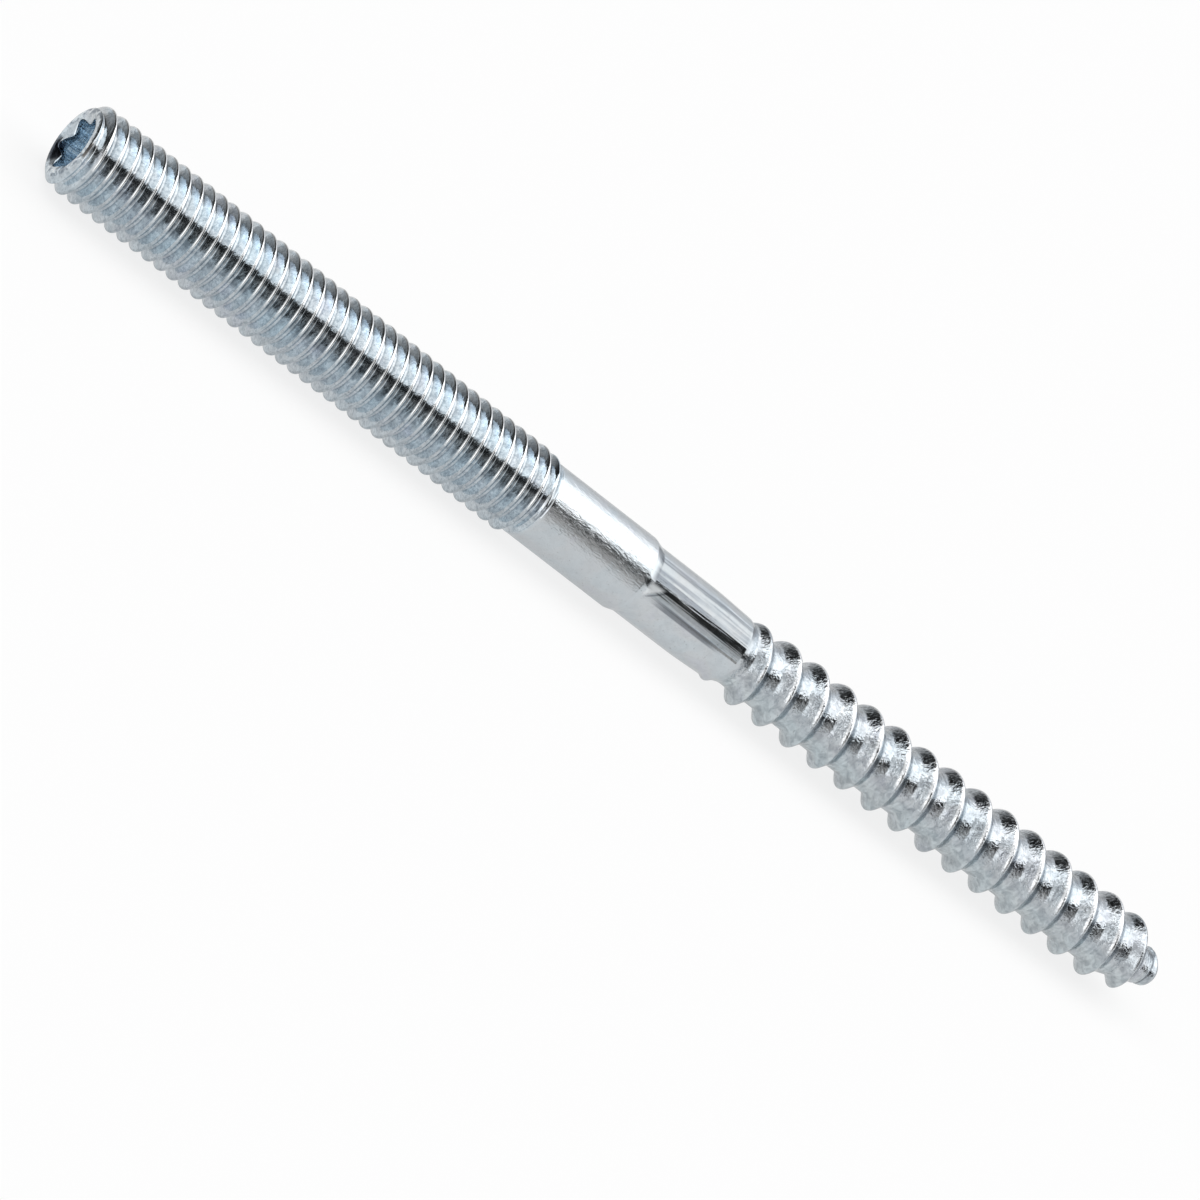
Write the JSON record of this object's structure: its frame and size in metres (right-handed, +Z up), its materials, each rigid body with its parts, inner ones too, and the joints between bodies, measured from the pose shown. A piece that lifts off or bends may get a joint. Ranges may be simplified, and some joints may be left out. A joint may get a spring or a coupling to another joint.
{
  "type": "hanger bolt",
  "caption": "Headless zinc-plated bolt with a machine thread and six-lobe drive recess at one end and a coarse wood thread with a point at the other, for fixing brackets to timber.",
  "frame": {"origin": "on the resting plane, below the middle of the bolt's length", "axes": "+X along the bolt from the machine thread to the point of the wood thread, +Z up from the surface it lies on"},
  "size_m": [0.094, 0.006, 0.006],
  "materials": {
    "zinc_plated_steel": "bright zinc plate with a faint blue tint"
  },
  "bodies": {
    "root": {"hanger_bolt": "zinc_plated_steel"}
  },
  "joints": []
}
